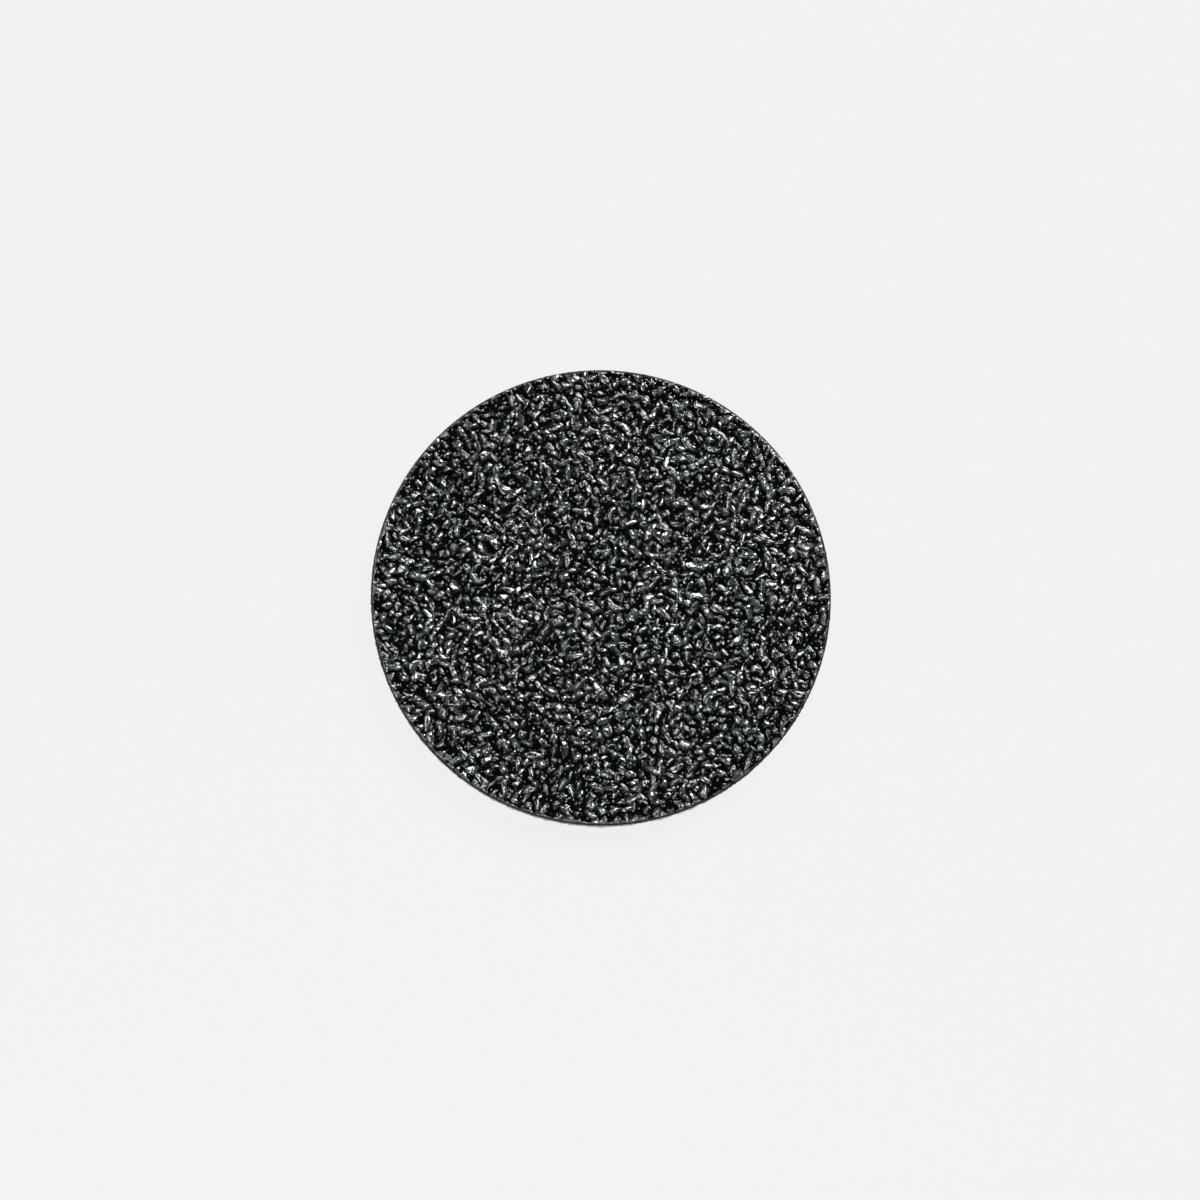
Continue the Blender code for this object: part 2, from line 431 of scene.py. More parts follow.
def build_sowing_tree():
    """Grains on scattered points, sheared flush with the rim."""
    tree, given, result = new_tree("sow_grain", {
        "Shapes": "collection",
        "Smallest": "float",
        "Largest": "float",
        "Spacing": "float",
        "Sieve From": "float",
        "Sieve To": "float",
        "Tilt": "float",
        "Seating": "float",
        "Rim": "float",
        "Ragged": "float",
        "Lowest": "float",
        "Highest": "float",
        "Seed": "int",
        "Material": "material",
    })
    cell = reckon(tree, "MULTIPLY", given["Spacing"], given["Spacing"])
    points = add_node(tree, "GeometryNodeDistributePointsOnFaces", {
        "Mesh": given["Mesh"],
        "Distance Min": given["Spacing"],
        "Density Max": reckon(tree, "DIVIDE", CROWDING, cell),
        "Seed": given["Seed"],
    }, distribute_method="POISSON")
    luck = random_number(tree, given, 0)
    outside = add_node(tree, "FunctionNodeBooleanMath", {
        0: compare(tree, "LESS_THAN", luck, given["Sieve From"]),
        1: compare(tree, "GREATER_EQUAL", luck, given["Sieve To"]),
    }, operation="OR")
    size = add_node(tree, "ShaderNodeMapRange", {
        "Value": reckon(tree, "POWER", luck, SMALL_BIAS),
        "To Min": given["Smallest"],
        "To Max": given["Largest"],
    }).outputs[0]
    lift = add_node(tree, "ShaderNodeCombineXYZ", {
        "Z": reckon(tree, "MULTIPLY", size, given["Seating"]),
    })
    noted = points.outputs["Points"]
    for label, value in (("size", size), ("tone", random_number(tree, given, 1))):
        noted = add_node(tree, "GeometryNodeStoreNamedAttribute", {
            "Geometry": noted,
            "Name": label,
            "Value": value,
        }, data_type="FLOAT", domain="POINT").outputs[0]
    sieved = add_node(tree, "GeometryNodeDeleteGeometry", {
        "Geometry": add_node(tree, "GeometryNodeSetPosition", {
            "Geometry": noted,
            "Offset": lift.outputs[0],
        }).outputs[0],
        "Selection": outside.outputs[0],
    }, domain="POINT")
    tray = add_node(tree, "GeometryNodeCollectionInfo", {
        "Collection": given["Shapes"],
        "Separate Children": True,
        "Reset Children": True,
    })
    noted_size = add_node(tree, "GeometryNodeInputNamedAttribute", {"Name": "size"}, data_type="FLOAT")
    grains = add_node(tree, "GeometryNodeInstanceOnPoints", {
        "Points": sieved.outputs[0],
        "Instance": tray.outputs[0],
        "Pick Instance": True,
        "Rotation": random_turn(tree, given),
        "Scale": noted_size.outputs[0],
    })
    real = add_node(tree, "GeometryNodeRealizeInstances", {"Geometry": grains.outputs[0]})
    cut = add_node(tree, "GeometryNodeSetPosition", {
        "Geometry": real.outputs[0],
        "Position": shear_to_rim(tree, given),
    })
    painted = add_node(tree, "GeometryNodeSetMaterial", {
        "Geometry": cut.outputs[0],
        "Material": given["Material"],
    })
    tree.links.new(painted.outputs[0], result[0])
    return tree


sowing_tree = build_sowing_tree()
print(f"{sowing_tree.name}: {len(sowing_tree.nodes)} nodes")

# %% [markdown]
# ## Wet black grit
#
# The grain is black with a faint steely or brown cast, and a skin of clear dark resin makes it
# look wet. The cast drifts over a few millimetres and each grain has its own tone. The colour
# also follows the height: low down, in the hollows between the grains, it is darkened towards
# black as painted shade. Two bumps break the highlights up: a fine one for chipped faces and a
# ridged one for the wrinkles that resin dries into. Silicon carbide bends light more than glass
# does, so it mirrors more of it than the resin alone: its index of refraction is 2.65, and a
# thin wet skin brings that down a little.

# %% Tools for finishes
def colour_ramp(nodes, stops):
    """A colour ramp with the given places and colours."""
    ramp = nodes.new("ShaderNodeValToRGB")
    while len(ramp.color_ramp.elements) < len(stops):
        ramp.color_ramp.elements.new(0.5)
    for element, (place, colour) in zip(ramp.color_ramp.elements, stops):
        element.position = place
        element.color = (*colour, 1.0)
    return ramp


def object_noise(nodes, links, size, detail=3.0, roughness=0.55):
    """Noise on the object's own coordinates, with features of about the size given in metres."""
    place = nodes.new("ShaderNodeTexCoord")
    noise = nodes.new("ShaderNodeTexNoise")
    noise.inputs["Scale"].default_value = 1.0 / size
    noise.inputs["Detail"].default_value = detail
    noise.inputs["Roughness"].default_value = roughness
    links.new(place.outputs["Object"], noise.inputs["Vector"])
    return noise


def stretch_range(nodes, links, source, low, high, start=0.3, end=0.7):
    """Map a noise value onto the range given."""
    spread = nodes.new("ShaderNodeMapRange")
    spread.inputs["From Min"].default_value = start
    spread.inputs["From Max"].default_value = end
    spread.inputs["To Min"].default_value = low
    spread.inputs["To Max"].default_value = high
    links.new(source, spread.inputs["Value"])
    return spread.outputs["Result"]


def add_bump(nodes, links, height, depth, strength, under=None):
    """A bump of the given depth in metres, on top of another one if there is one."""
    bump = nodes.new("ShaderNodeBump")
    bump.inputs["Distance"].default_value = depth
    bump.inputs["Strength"].default_value = strength
    links.new(height, bump.inputs["Height"])
    if under is not None:
        links.new(under, bump.inputs["Normal"])
    return bump.outputs["Normal"]


print("noise, ramps and bumps are at hand")

# %% Mix the grit finish
# Painted shade in the hollows: below a third of the first height over the bed the colour is cut to the
# share that follows, and it is back to full by the first height.
PAINTED_SHADE_TOP = 0.75 * MM
PAINTED_SHADE_LEVEL = 0.17
CARBIDE_INDEX = 2.2
RESIN_INDEX = 1.6
CAST_SIZE = 5.0 * MM
CHIP_SIZE = 0.22 * MM
WRINKLE_SIZE = 0.42 * MM
DARKEST_TONE = 0.4
LIGHTEST_TONE = 2.2
CHIP_DEPTH = 0.6


def mix_grit(name, brightness, bump_depth, index):
    """Black grain under wet resin, darkened towards black low down as painted shade in the hollows."""
    material, nodes, links, output = new_material(name)
    cast = colour_ramp(nodes, [
        (0.36, (0.0215, 0.0195, 0.0180)),
        (0.46, (0.0195, 0.0200, 0.0190)),
        (0.58, (0.0165, 0.0200, 0.0190)),
        (0.66, (0.0160, 0.0190, 0.0235)),
    ])
    drift = object_noise(nodes, links, CAST_SIZE, detail=2.0)
    links.new(drift.outputs["Fac"], cast.inputs["Fac"])
    tone = nodes.new("ShaderNodeAttribute")
    tone.attribute_name = "tone"
    darkest = DARKEST_TONE * brightness
    lightest = LIGHTEST_TONE * brightness
    level = stretch_range(nodes, links, tone.outputs["Fac"], darkest, lightest, 0.0, 1.0)
    # Painted shade: this height factor scales the colour down low over the grain bed, so the hollows
    # between grains go black.
    place = nodes.new("ShaderNodeTexCoord")
    height = nodes.new("ShaderNodeSeparateXYZ")
    links.new(place.outputs["Object"], height.inputs[0])
    thin = stretch_range(
        nodes, links, height.outputs["Z"], PAINTED_SHADE_LEVEL, 1.0, BED + PAINTED_SHADE_TOP / 3, BED + PAINTED_SHADE_TOP,
    )
    both = nodes.new("ShaderNodeMath")
    both.operation = "MULTIPLY"
    links.new(level, both.inputs[0])
    links.new(thin, both.inputs[1])
    shade = nodes.new("ShaderNodeVectorMath")
    shade.operation = "SCALE"
    links.new(cast.outputs["Color"], shade.inputs[0])
    links.new(both.outputs[0], shade.inputs["Scale"])
    shader = nodes.new("ShaderNodeBsdfPrincipled")
    shader.inputs["IOR"].default_value = index
    links.new(shade.outputs[0], shader.inputs["Base Color"])
    grain = object_noise(nodes, links, CHIP_SIZE, detail=2.0)
    links.new(stretch_range(nodes, links, grain.outputs["Fac"], 0.06, 0.18), shader.inputs["Roughness"])
    wrinkles = object_noise(nodes, links, WRINKLE_SIZE, detail=1.0)
    wrinkles.noise_type = "RIDGED_MULTIFRACTAL"
    relief = add_bump(nodes, links, grain.outputs["Fac"], bump_depth * CHIP_DEPTH, strength=1.0)
    relief = add_bump(nodes, links, wrinkles.outputs["Fac"], bump_depth, strength=1.0, under=relief)
    links.new(relief, shader.inputs["Normal"])
    links.new(shader.outputs[0], output.inputs["Surface"])
    return material


wet_grit = mix_grit("wet_grit", brightness=1.0, bump_depth=0.10 * MM, index=CARBIDE_INDEX)
pooled_resin = mix_grit("pooled_resin", brightness=0.8, bump_depth=0.05 * MM, index=RESIN_INDEX)
print("mixed", wet_grit.name, "and", pooled_resin.name)

# %% [markdown]
# ## Three sievings
#
# The coarse and the medium grain share one set of points, so no two of them stand on one spot,
# though long neighbours lean into each other and lock. The fine grain is sown again, closer and
# higher, and settles in the hollows between them. Lucky numbers run from nought to one, so a
# sieve that is open to a little more than one lets every grain through.

# %% Sow the grain
GRAIN_SEED = 24
SHEET_SIDES = 96
SOWN_INSET = 0.10 * MM
RIM_OVERHANG = 0.05 * MM
RIM_BREAK = 0.50 * MM
SIEVE_MESH = 0.6
SIEVE_END = 1.1
FINE_LIFT = 0.16 * MM


def round_sheet(name, radius, level):
    """A flat round sheet to sow on."""
    bm = bmesh.new()
    bmesh.ops.create_circle(bm, cap_ends=True, segments=SHEET_SIDES, radius=radius)
    mesh = bpy.data.meshes.new(name)
    bm.to_mesh(mesh)
    bm.free()
    mesh.transform(Matrix.Translation((0, 0, level)))
    return mesh


def sow(name, shapes, smallest, largest, spacing, sieve, tilt, seating, level, seed):
    """One sieving of grain over the whole disc."""
    return grow(name, round_sheet(name, RADIUS - SOWN_INSET, level), sowing_tree, {
        "Shapes": shapes,
        "Smallest": smallest,
        "Largest": largest,
        "Spacing": spacing,
        "Sieve From": sieve[0],
        "Sieve To": sieve[1],
        "Tilt": tilt,
        "Seating": seating,
        "Rim": RADIUS + RIM_OVERHANG,
        "Ragged": RIM_BREAK,
        "Lowest": BED,
        "Highest": TOP,
        "Seed": seed,
        "Material": wet_grit,
    })


bold_grain = {
    "smallest": 0.88 * MM,
    "largest": 1.65 * MM,
    "spacing": 0.78 * MM,
    "tilt": 0.55,
    "seating": 0.33,
    "level": BED,
    "seed": GRAIN_SEED,
}
fine_grain = {
    "smallest": 0.30 * MM,
    "largest": 0.62 * MM,
    "spacing": 0.50 * MM,
    "tilt": 1.2,
    "seating": 0.20,
    "level": BED + FINE_LIFT,
    "seed": GRAIN_SEED + 10,
}
coarse = sow("coarse_grain", splinter_tray, sieve=(SIEVE_MESH, SIEVE_END), **bold_grain)
medium = sow("medium_grain", splinter_tray, sieve=(0.0, SIEVE_MESH), **bold_grain)
fine = sow("fine_grain", chip_tray, sieve=(0.0, SIEVE_END), **fine_grain)

for piece in (coarse, medium, fine):
    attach(piece, "root")
    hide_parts("grain_layer")

# %% [markdown]
# ## The resin between the grains
#
# The size coat is poured over the grain as a liquid, and surface tension draws it up every
# flank before it cures. So the resin is a puck whose upper face is a fine net of triangles. The
# tree measures how far each point is from the nearest grain and raises it by a height that dies
# away with that distance, which is the shape of a meniscus. At the rim the punch breaks the
# brittle resin off at a slope.

# %% Make the puck
RESIN_LEVEL = 0.15 * MM
RESIN_CLIMB = 0.22 * MM
RESIN_REACH = 0.10 * MM
RESIN_RINGS = 110
RESIN_SLOPE = 0.20 * MM
RESIN_INSET = 0.03 * MM
SECTOR = math.radians(60)


def fine_puck(name, radius, low, high, rings, slope):
    """A closed round puck: a fine net on top, a sloping wall and one face below.

    The net starts as a hexagon in rings of triangles. Each of its six sectors is then pushed out
    until the rings are round.
    """
    bm = bmesh.new()
    bmesh.ops.create_circle(bm, cap_ends=True, cap_tris=True, segments=6, radius=1.0)
    bmesh.ops.subdivide_edges(bm, edges=bm.edges, cuts=rings - 1, use_grid_fill=True)
    for vert in bm.verts:
        away = vert.co.length
        if away > 0:
            turn = math.atan2(vert.co.x, vert.co.y) % SECTOR
            ring = away * math.cos(turn - SECTOR / 2) / math.cos(SECTOR / 2)
            vert.co *= (radius - slope) * ring / away
        vert.co.z = high
    brink = [vert for vert in bm.verts if vert.is_boundary]
    brink.sort(key=lambda vert: math.atan2(vert.co.y, vert.co.x))
    foot = [bm.verts.new((*(vert.co.xy * radius / (radius - slope)), low)) for vert in brink]
    for n in range(len(brink)):
        bm.faces.new((brink[n - 1], brink[n], foot[n], foot[n - 1]))
    bm.faces.new(foot)
    bmesh.ops.recalc_face_normals(bm, faces=bm.faces)
    mesh = bpy.data.meshes.new(name)
    bm.to_mesh(mesh)
    bm.free()
    return mesh


puck = fine_puck(
    "size_resin", RADIUS - RESIN_INSET, BED, BED + RESIN_LEVEL, RESIN_RINGS, RESIN_SLOPE,
)
print(f"puck: {len(puck.polygons)} faces")

# %% Build the pouring tree
def build_pouring_tree():
    """Raise the upper face of a puck towards the grains near it."""
    tree, given, result = new_tree("pour_resin", {
        "Coarse": "object",
        "Medium": "object",
        "Climb": "float",
        "Reach": "float",
        "Foot": "float",
        "Material": "material",
    })
    nearest = 1.0
    for label in ("Coarse", "Medium"):
        grains = add_node(tree, "GeometryNodeObjectInfo", {"Object": given[label]},
                          transform_space="RELATIVE")
        gap = add_node(tree, "GeometryNodeProximity", {0: grains.outputs["Geometry"]},
                       target_element="FACES")
        nearest = reckon(tree, "MINIMUM", nearest, gap.outputs["Distance"])
    fall = reckon(tree, "DIVIDE", nearest, given["Reach"])
    fading = reckon(tree, "EXPONENT", reckon(tree, "MULTIPLY", fall, -1.0))
    climb = reckon(tree, "MULTIPLY", given["Climb"], fading)
    here = add_node(tree, "GeometryNodeInputPosition")
    height = add_node(tree, "ShaderNodeSeparateXYZ", {0: here.outputs[0]}).outputs[2]
    wetted = add_node(tree, "GeometryNodeSetPosition", {
        "Geometry": given["Mesh"],
        "Selection": compare(tree, "GREATER_THAN", height, given["Foot"]),
        "Offset": add_node(tree, "ShaderNodeCombineXYZ", {"Z": climb}).outputs[0],
    })
    smooth = add_node(tree, "GeometryNodeSetShadeSmooth", {"Geometry": wetted.outputs[0]})
    painted = add_node(tree, "GeometryNodeSetMaterial", {
        "Geometry": smooth.outputs[0],
        "Material": given["Material"],
    })
    tree.links.new(painted.outputs[0], result[0])
    return tree


pouring_tree = build_pouring_tree()
print(f"{pouring_tree.name}: {len(pouring_tree.nodes)} nodes")

# %% Pour the resin
resin = grow("size_resin", puck, pouring_tree, {
    "Coarse": coarse,
    "Medium": medium,
    "Climb": RESIN_CLIMB,
    "Reach": RESIN_REACH,
    "Foot": BED + RESIN_LEVEL / 2,
    "Material": pooled_resin,
})
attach(resin, "root")
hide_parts("size_coat")

# %% [markdown]
# ## Bending the loops
#
# The back is a brushed warp knit. Every stitch throws up a loop of nylon thread, and the hooks
# of the pad catch in these loops. A loop is a thread that leaves the knit, opens into a bow and
# comes back, so each one is a thin tube along a teardrop path. The tube has only three sides,
# because there are thousands. Ten loops of different widths and leans are enough for a lively
# pile.

# %% Make the tray of loops
LOOP_SHAPES = 10
LOOP_ANGLES = range(40, 321, 40)
LOOP_HALF_WIDTH = (0.30, 0.48)
LOOP_LEAN = (-0.75, 0.75)
LOOP_SKEW = (-0.35, 0.35)
BOW_CENTRE = -0.54
BOW_HALF_HEIGHT = 0.46
THREAD_RADIUS = 0.050
FOOT_GAP = 0.10
FOOT_RISE = 0.04


def sweep_thread(path, radius, sides=3):
    """A closed thin tube along a path that stays near the plane Y = 0."""
    bm = bmesh.new()
    rings = []
    for n, point in enumerate(path):
        before = path[max(n - 1, 0)]
        after = path[min(n + 1, len(path) - 1)]
        along = (after - before).normalized()
        side = along.cross(Vector((0, 1, 0))).normalized()
        over = along.cross(side)
        ring = []
        for k in range(sides):
            turn = math.tau * k / sides
            ring.append(bm.verts.new(point + (side * math.cos(turn) + over * math.sin(turn)) * radius))
        rings.append(ring)
    for low, high in zip(rings, rings[1:]):
        for k in range(sides):
            bm.faces.new((low[k], low[(k + 1) % sides], high[(k + 1) % sides], high[k]))
    bm.faces.new(rings[0])
    bm.faces.new(rings[-1])
    bmesh.ops.recalc_face_normals(bm, faces=bm.faces)
    return bm


def bend_loop(number):
    """One hanging loop of nylon thread, a unit high."""
    chance = random.Random(f"loop {number}")
    half_width = chance.uniform(*LOOP_HALF_WIDTH)
    lean = chance.uniform(*LOOP_LEAN)
    skew = chance.uniform(*LOOP_SKEW)
    path = [Vector((-FOOT_GAP, 0, FOOT_RISE))]
    for angle in LOOP_ANGLES:
        turn = math.radians(angle)
        drop = BOW_CENTRE + BOW_HALF_HEIGHT * math.cos(turn)
        path.append(Vector((skew * drop - half_width * math.sin(turn), lean * drop * drop, drop)))
    path.append(Vector((FOOT_GAP, 0, FOOT_RISE)))
    bm = sweep_thread(path, THREAD_RADIUS)
    mesh = bpy.data.meshes.new(f"loop_{number:02d}")
    bm.to_mesh(mesh)
    bm.free()
    mesh.shade_smooth()
    return bpy.data.objects.new(mesh.name, mesh)


loop_tray = fill_tray("loop_tray", [bend_loop(n) for n in range(LOOP_SHAPES)])

# %% [markdown]
# ## Nylon and knit
#
# Undyed nylon is a warm grey white. The thread shines a little and soils unevenly, so its colour
# drifts over several millimetres and each loop has its own tone. The ground between the loops is
# a warp knit: wales run one way and courses cross them, and two sets of waves draw both. A wave
# texture turns by 20 radians for each unit of its input, and the scale allows for that.

# %% Mix the nylon
SOIL_SIZE = 6.0 * MM
FIBRE_SIZE = 0.05 * MM
FIBRE_DEPTH = 0.01 * MM


def mix_nylon():
    """Warm white nylon thread with a sheen."""
    material, nodes, links, output = new_material("loop_nylon_thread")
    soil = colour_ramp(nodes, [(0.35, (0.50, 0.47, 0.41)), (0.65, (0.66, 0.635, 0.575))])
    drift = object_noise(nodes, links, SOIL_SIZE, detail=3.0)
    links.new(drift.outputs["Fac"], soil.inputs["Fac"])
    tone = nodes.new("ShaderNodeAttribute")
    tone.attribute_name = "tone"
    shade = nodes.new("ShaderNodeVectorMath")
    shade.operation = "SCALE"
    links.new(soil.outputs["Color"], shade.inputs[0])
    level = stretch_range(nodes, links, tone.outputs["Fac"], 0.80, 1.12, 0.0, 1.0)
    links.new(level, shade.inputs["Scale"])
    shader = nodes.new("ShaderNodeBsdfPrincipled")
    shader.inputs["Sheen Weight"].default_value = 0.25
    links.new(shade.outputs[0], shader.inputs["Base Color"])
    fibre = object_noise(nodes, links, FIBRE_SIZE, detail=2.0)
    links.new(stretch_range(nodes, links, fibre.outputs["Fac"], 0.35, 0.60), shader.inputs["Roughness"])
    relief = add_bump(nodes, links, fibre.outputs["Fac"], FIBRE_DEPTH, strength=0.6)
    links.new(relief, shader.inputs["Normal"])
    links.new(shader.outputs[0], output.inputs["Surface"])
    return material


loop_nylon = mix_nylon()
print("mixed", loop_nylon.name)

# %% Mix the knit
WALE = 0.42 * MM
COURSE = 0.30 * MM
STITCH_DEPTH = 0.08 * MM
FUZZ_SIZE = 0.10 * MM
FUZZ_DEPTH = 0.02 * MM
WAVE_RADIANS = 20.0


def object_waves(nodes, links, pitch, axis):
    """Soft bands of the given pitch across one axis of the object."""
    place = nodes.new("ShaderNodeTexCoord")
    waves = nodes.new("ShaderNodeTexWave")
    waves.bands_direction = axis
    waves.inputs["Scale"].default_value = math.tau / (WAVE_RADIANS * pitch)
    waves.inputs["Distortion"].default_value = 1.2
    waves.inputs["Detail"].default_value = 1.0
    waves.inputs["Detail Scale"].default_value = 2.0
    links.new(place.outputs["Object"], waves.inputs["Vector"])
    return waves.outputs["Fac"]


def mix_knit():
    """Pale warp knit, with painted shade darkening the gaps where the stitches part."""
    material, nodes, links, output = new_material("ground_knit_yarn")
    wales = object_waves(nodes, links, WALE, "X")
    courses = object_waves(nodes, links, COURSE, "Y")
    stitch = nodes.new("ShaderNodeMath")
    stitch.operation = "MULTIPLY"
    links.new(wales, stitch.inputs[0])
    links.new(courses, stitch.inputs[1])
    # Painted shade: where both sets of waves are low, in the gaps between stitches, the yarn colour
    # goes dark.
    yarn = colour_ramp(nodes, [(0.05, (0.22, 0.20, 0.17)), (0.60, (0.52, 0.50, 0.45))])
    links.new(stitch.outputs[0], yarn.inputs["Fac"])
    shader = nodes.new("ShaderNodeBsdfPrincipled")
    shader.inputs["Sheen Weight"].default_value = 0.2
    links.new(yarn.outputs["Color"], shader.inputs["Base Color"])
    fuzz = object_noise(nodes, links, FUZZ_SIZE)
    links.new(stretch_range(nodes, links, fuzz.outputs["Fac"], 0.70, 0.92), shader.inputs["Roughness"])
    relief = add_bump(nodes, links, stitch.outputs[0], STITCH_DEPTH, strength=1.0)
    relief = add_bump(nodes, links, fuzz.outputs["Fac"], FUZZ_DEPTH, strength=0.7, under=relief)
    links.new(relief, shader.inputs["Normal"])
    links.new(shader.outputs[0], output.inputs["Surface"])
    return material


ground_knit = mix_knit()
print(f"mixed {ground_knit.name}, {WALE / MM:.2f} mm a wale")

# %% [markdown]
# ## The loop pile
#
# The sowing tree hangs the loops too: a loop is only another shape, its level is the knit, and
# the lowest height is the floor, so the loops flatten where the disc rests on them. One sowing
# stays under the number of triangles a piece may have, so the pile is three sowings of long
# loops, and two of short ones that fill it from within.

# %% Hang the loops
LONG_LOOPS = {"smallest": 1.00 * MM, "largest": 1.30 * MM, "spacing": 0.56 * MM}
SHORT_LOOPS = {"smallest": 0.55 * MM, "largest": 0.90 * MM, "spacing": 0.56 * MM}
LONG_SOWINGS = 3
SHORT_SOWINGS = 2
LOOP_SEED = 41
LOOP_TILT = 0.50
LOOP_INSET = 0.20 * MM
LOOP_FRINGE = 0.15 * MM
LOOP_GRIP = 0.10 * MM


def hang_loops(name, smallest, largest, spacing, seed):
    """One sowing of loops over the whole back."""
    pile = grow(name, round_sheet(name, RADIUS - LOOP_INSET, LOOP_FOOT), sowing_tree, {
        "Shapes": loop_tray,
        "Smallest": smallest,
        "Largest": largest,
        "Spacing": spacing,
        "Sieve From": 0.0,
        "Sieve To": SIEVE_END,
        "Tilt": LOOP_TILT,
        "Seating": 0.0,
        "Rim": RADIUS + LOOP_FRINGE,
        "Ragged": 2 * LOOP_FRINGE,
        "Lowest": 0.0,
        "Highest": LOOP_FOOT + LOOP_GRIP,
        "Seed": seed,
        "Material": loop_nylon,
    })
    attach(pile, "root")
    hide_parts("loop_pile")


for sowing in range(LONG_SOWINGS):
    hang_loops(f"long_loops_{sowing + 1}", **LONG_LOOPS, seed=LOOP_SEED + sowing)
for sowing in range(SHORT_SOWINGS):
    hang_loops(f"short_loops_{sowing + 1}", **SHORT_LOOPS, seed=LOOP_SEED + 10 + sowing)

# %% [markdown]
# ## Cut yarn ends
#
# The punch cuts every yarn of the cloth, and each one opens into a small tuft at the edge. Two
# rows of yarns show: one over and one under, as the weave takes them. A tuft is a stub with a
# domed end, and the tree sets one on each point of two rings, turned outwards.

# %% Shape the tufts and their rows
CLOTH_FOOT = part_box("backing_cloth")[0].z
CLOTH_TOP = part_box("backing_cloth")[1].z
YARN_PITCH = 0.36 * MM
YARN_ENDS = round(math.tau * RADIUS / YARN_PITCH)
TUFT_SHAPES = 5
TUFT_DOME = 0.8
TUFT_REACH = (0.78, 1.12)


def make_tuft(number):
    """A cut yarn end that points along +Z, one unit across."""
    chance = random.Random(f"tuft {number}")
    bm = bmesh.new()
    bmesh.ops.create_icosphere(bm, subdivisions=1, radius=0.5)
    for vert in bm.verts:
        vert.co.z *= TUFT_DOME
        vert.co *= chance.uniform(*TUFT_REACH)
    mesh = bpy.data.meshes.new(f"tuft_{number}")
    bm.to_mesh(mesh)
    bm.free()
    mesh.shade_smooth()
    return bpy.data.objects.new(mesh.name, mesh)


def rim_rows(name, radius, levels, count):
    """Rings of loose points, each ring half a pitch on from the last."""
    bm = bmesh.new()
    for row, level in enumerate(levels):
        for n in range(count):
            turn = math.tau * (n + 0.5 * row) / count
            bm.verts.new((radius * math.cos(turn), radius * math.sin(turn), level))
    mesh = bpy.data.meshes.new(name)
    bm.to_mesh(mesh)
    bm.free()
    return mesh


tuft_tray = fill_tray("tuft_tray", [make_tuft(n) for n in range(TUFT_SHAPES)])

# %% Build the fringing tree
THINNEST_YARN = 0.75
THICKEST_YARN = 1.15


def build_fringing_tree():
    """Set a shape on each point of the rings, turned outwards and jostled a little."""
    tree, given, result = new_tree("fringe_rim", {
        "Shapes": "collection",
        "Width": "float",
        "Jostle": "float",
        "Seed": "int",
        "Material": "material",
    })
    here = add_node(tree, "GeometryNodeInputPosition")
    x, y, _ = add_node(tree, "ShaderNodeSeparateXYZ", {0: here.outputs[0]}).outputs
    outwards = add_node(tree, "ShaderNodeCombineXYZ", {"X": x, "Y": y})
    aim = add_node(tree, "FunctionNodeAlignEulerToVector", {"Vector": outwards.outputs[0]}, axis="Z")
    most = given["Jostle"]
    least = reckon(tree, "MULTIPLY", most, -1.0)
    low_corner = add_node(tree, "ShaderNodeCombineXYZ", {0: least, 1: least, 2: least})
    high_corner = add_node(tree, "ShaderNodeCombineXYZ", {0: most, 1: most, 2: most})
    nudge = add_node(tree, "FunctionNodeRandomValue", {
        0: low_corner.outputs[0],
        1: high_corner.outputs[0],
        "Seed": given["Seed"],
    }, data_type="FLOAT_VECTOR")
    moved = add_node(tree, "GeometryNodeSetPosition", {
        "Geometry": given["Mesh"],
        "Offset": nudge.outputs[0],
    })
    noted = add_node(tree, "GeometryNodeStoreNamedAttribute", {
        "Geometry": moved.outputs[0],
        "Name": "tone",
        "Value": random_number(tree, given, 1),
    }, data_type="FLOAT", domain="POINT")
    size = add_node(tree, "ShaderNodeMapRange", {
        "Value": random_number(tree, given, 2),
        "To Min": reckon(tree, "MULTIPLY", given["Width"], THINNEST_YARN),
        "To Max": reckon(tree, "MULTIPLY", given["Width"], THICKEST_YARN),
    })
    tray = add_node(tree, "GeometryNodeCollectionInfo", {
        "Collection": given["Shapes"],
        "Separate Children": True,
        "Reset Children": True,
    })
    tufts = add_node(tree, "GeometryNodeInstanceOnPoints", {
        "Points": noted.outputs[0],
        "Instance": tray.outputs[0],
        "Pick Instance": True,
        "Rotation": aim.outputs[0],
        "Scale": size.outputs[0],
    })
    real = add_node(tree, "GeometryNodeRealizeInstances", {"Geometry": tufts.outputs[0]})
    painted = add_node(tree, "GeometryNodeSetMaterial", {
        "Geometry": real.outputs[0],
        "Material": given["Material"],
    })
    tree.links.new(painted.outputs[0], result[0])
    return tree


fringing_tree = build_fringing_tree()
print(f"{fringing_tree.name}: {len(fringing_tree.nodes)} nodes")

# %% Mix the yarn
YARN_FIBRE = 0.09 * MM
YARN_RELIEF = 0.05 * MM


def mix_yarn(name, dark, light):
    """Dyed yarn stiffened with resin. The fibres show as a fine mottle."""
    material, nodes, links, output = new_material(name)
    fibre = object_noise(nodes, links, YARN_FIBRE, detail=4.0, roughness=0.7)
    dye = colour_ramp(nodes, [(0.36, dark), (0.66, light)])
    links.new(fibre.outputs["Fac"], dye.inputs["Fac"])
    shader = nodes.new("ShaderNodeBsdfPrincipled")
    shader.inputs["Sheen Weight"].default_value = 0.15
    links.new(dye.outputs["Color"], shader.inputs["Base Color"])
    links.new(stretch_range(nodes, links, fibre.outputs["Fac"], 0.95, 0.70), shader.inputs["Roughness"])
    relief = add_bump(nodes, links, fibre.outputs["Fac"], YARN_RELIEF, strength=0.8)
    links.new(relief, shader.inputs["Normal"])
    links.new(shader.outputs[0], output.inputs["Surface"])
    return material


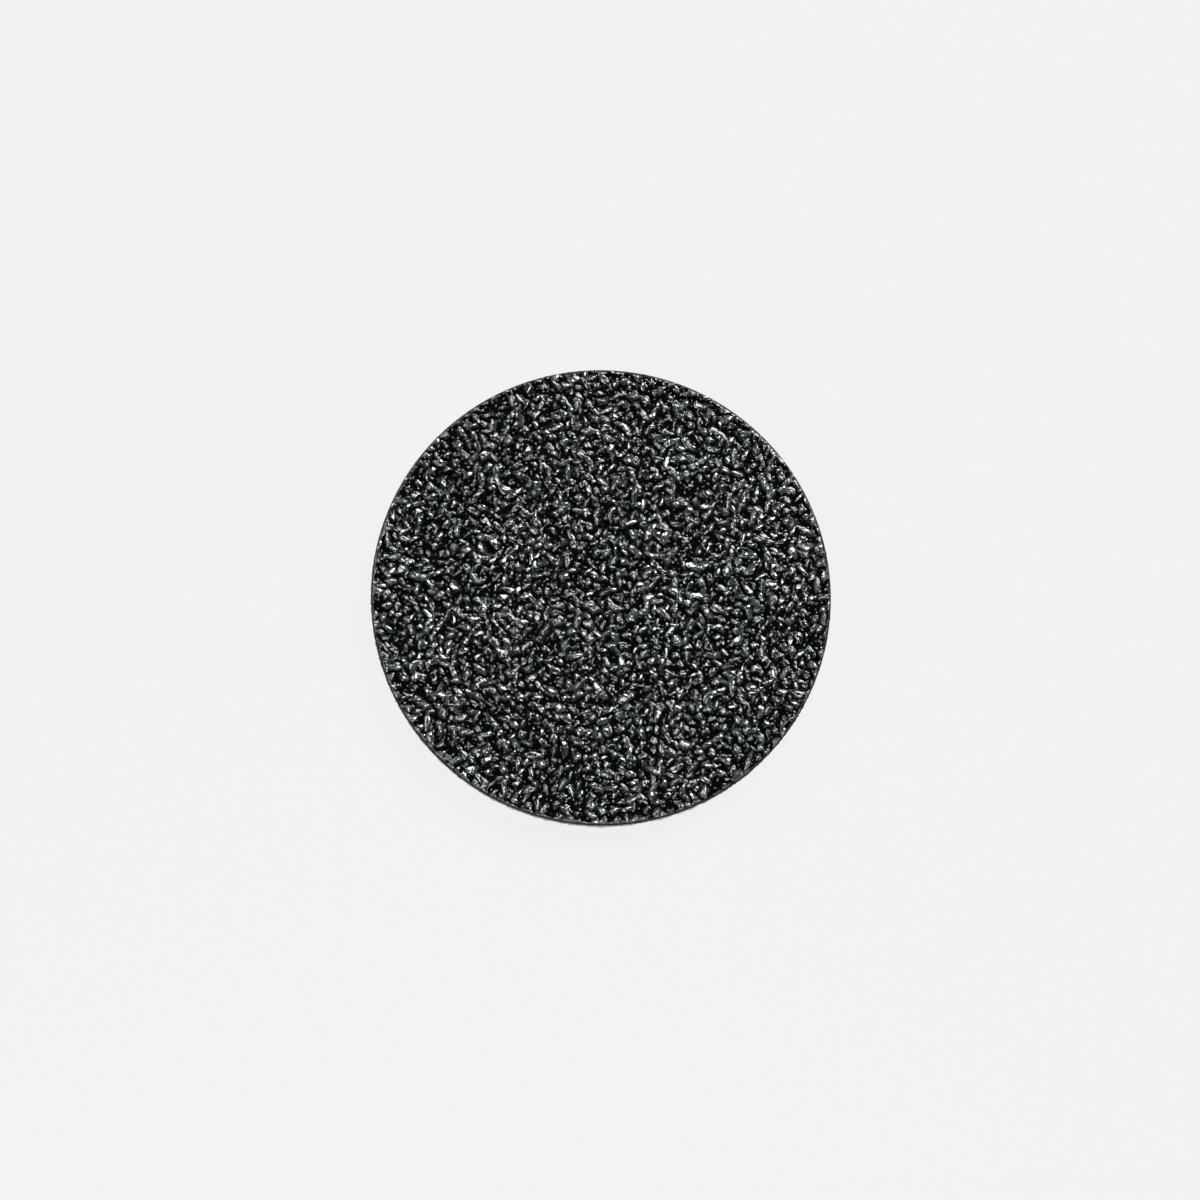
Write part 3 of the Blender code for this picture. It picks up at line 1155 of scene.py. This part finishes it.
cloth_yarn = mix_yarn("cloth_yarn", dark=(0.022, 0.019, 0.017), light=(0.085, 0.075, 0.066))
print("mixed", cloth_yarn.name)

# %% Set the yarn ends round the cloth
ROW_SHARES = (0.28, 0.72)
YARN_INSET = 0.06 * MM
YARN_WIDTH = 0.30 * MM
YARN_JOSTLE = 0.04 * MM
YARN_SEED = 61

row_levels = [CLOTH_FOOT * (1 - share) + CLOTH_TOP * share for share in ROW_SHARES]
yarn_rows = rim_rows("cut_yarn_ends", RADIUS - YARN_INSET, row_levels, YARN_ENDS)
yarn_ends = grow("cut_yarn_ends", yarn_rows, fringing_tree, {
    "Shapes": tuft_tray,
    "Width": YARN_WIDTH,
    "Jostle": YARN_JOSTLE,
    "Seed": YARN_SEED,
    "Material": cloth_yarn,
})
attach(yarn_ends, "root")

# %% [markdown]
# ## Finishes of the inner layers
#
# The measured solids of the inner layers keep their shape. They show at the cut edge only, as
# thin bands, so each gets the finish of its own stuff: brittle dark resin, chalk-filled resin,
# yarn and amber glue. A punched resin edge is scratched upright, and a stretched noise draws
# that.

# %% Paint the inner layers
SCRATCH_SIZE = 0.08 * MM
SCRATCH_SQUEEZE = 0.15
SCRATCH_DEPTH = 0.015 * MM
MOTTLE_DEPTH = 0.03 * MM


def mix_cut_resin(name, dark, light, mottle, smooth, rough):
    """Cured resin with a punched edge."""
    material, nodes, links, output = new_material(name)
    blotch = object_noise(nodes, links, mottle, detail=4.0, roughness=0.65)
    stain = colour_ramp(nodes, [(0.35, dark), (0.65, light)])
    links.new(blotch.outputs["Fac"], stain.inputs["Fac"])
    place = nodes.new("ShaderNodeTexCoord")
    stretch = nodes.new("ShaderNodeMapping")
    stretch.inputs["Scale"].default_value = (1.0, 1.0, SCRATCH_SQUEEZE)
    links.new(place.outputs["Object"], stretch.inputs["Vector"])
    scratch = nodes.new("ShaderNodeTexNoise")
    scratch.inputs["Scale"].default_value = 1.0 / SCRATCH_SIZE
    scratch.inputs["Detail"].default_value = 2.0
    links.new(stretch.outputs["Vector"], scratch.inputs["Vector"])
    shader = nodes.new("ShaderNodeBsdfPrincipled")
    links.new(stain.outputs["Color"], shader.inputs["Base Color"])
    gloss = stretch_range(nodes, links, blotch.outputs["Fac"], smooth, rough)
    links.new(gloss, shader.inputs["Roughness"])
    relief = add_bump(nodes, links, blotch.outputs["Fac"], MOTTLE_DEPTH, strength=0.7)
    relief = add_bump(nodes, links, scratch.outputs["Fac"], SCRATCH_DEPTH, strength=0.8, under=relief)
    links.new(relief, shader.inputs["Normal"])
    links.new(shader.outputs[0], output.inputs["Surface"])
    return material


layer_finishes = {
    "make_coat": mix_cut_resin(
        "make_resin_edge", dark=(0.012, 0.009, 0.007), light=(0.040, 0.026, 0.018),
        mottle=0.25 * MM, smooth=0.22, rough=0.50,
    ),
    "front_fill": mix_cut_resin(
        "front_filling_edge", dark=(0.030, 0.026, 0.023), light=(0.085, 0.073, 0.062),
        mottle=0.12 * MM, smooth=0.55, rough=0.80,
    ),
    "backing_cloth": cloth_yarn,
    "back_fill": mix_cut_resin(
        "back_filling_edge", dark=(0.045, 0.038, 0.032), light=(0.120, 0.100, 0.082),
        mottle=0.12 * MM, smooth=0.55, rough=0.80,
    ),
    "laminating_adhesive": mix_cut_resin(
        "laminating_glue", dark=(0.22, 0.16, 0.085), light=(0.46, 0.37, 0.23),
        mottle=0.30 * MM, smooth=0.25, rough=0.45,
    ),
    "loop_ground_knit": ground_knit,
}
for node, finish in layer_finishes.items():
    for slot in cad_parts[node].material_slots:
        slot.material = finish
print("painted", ", ".join(layer_finishes))
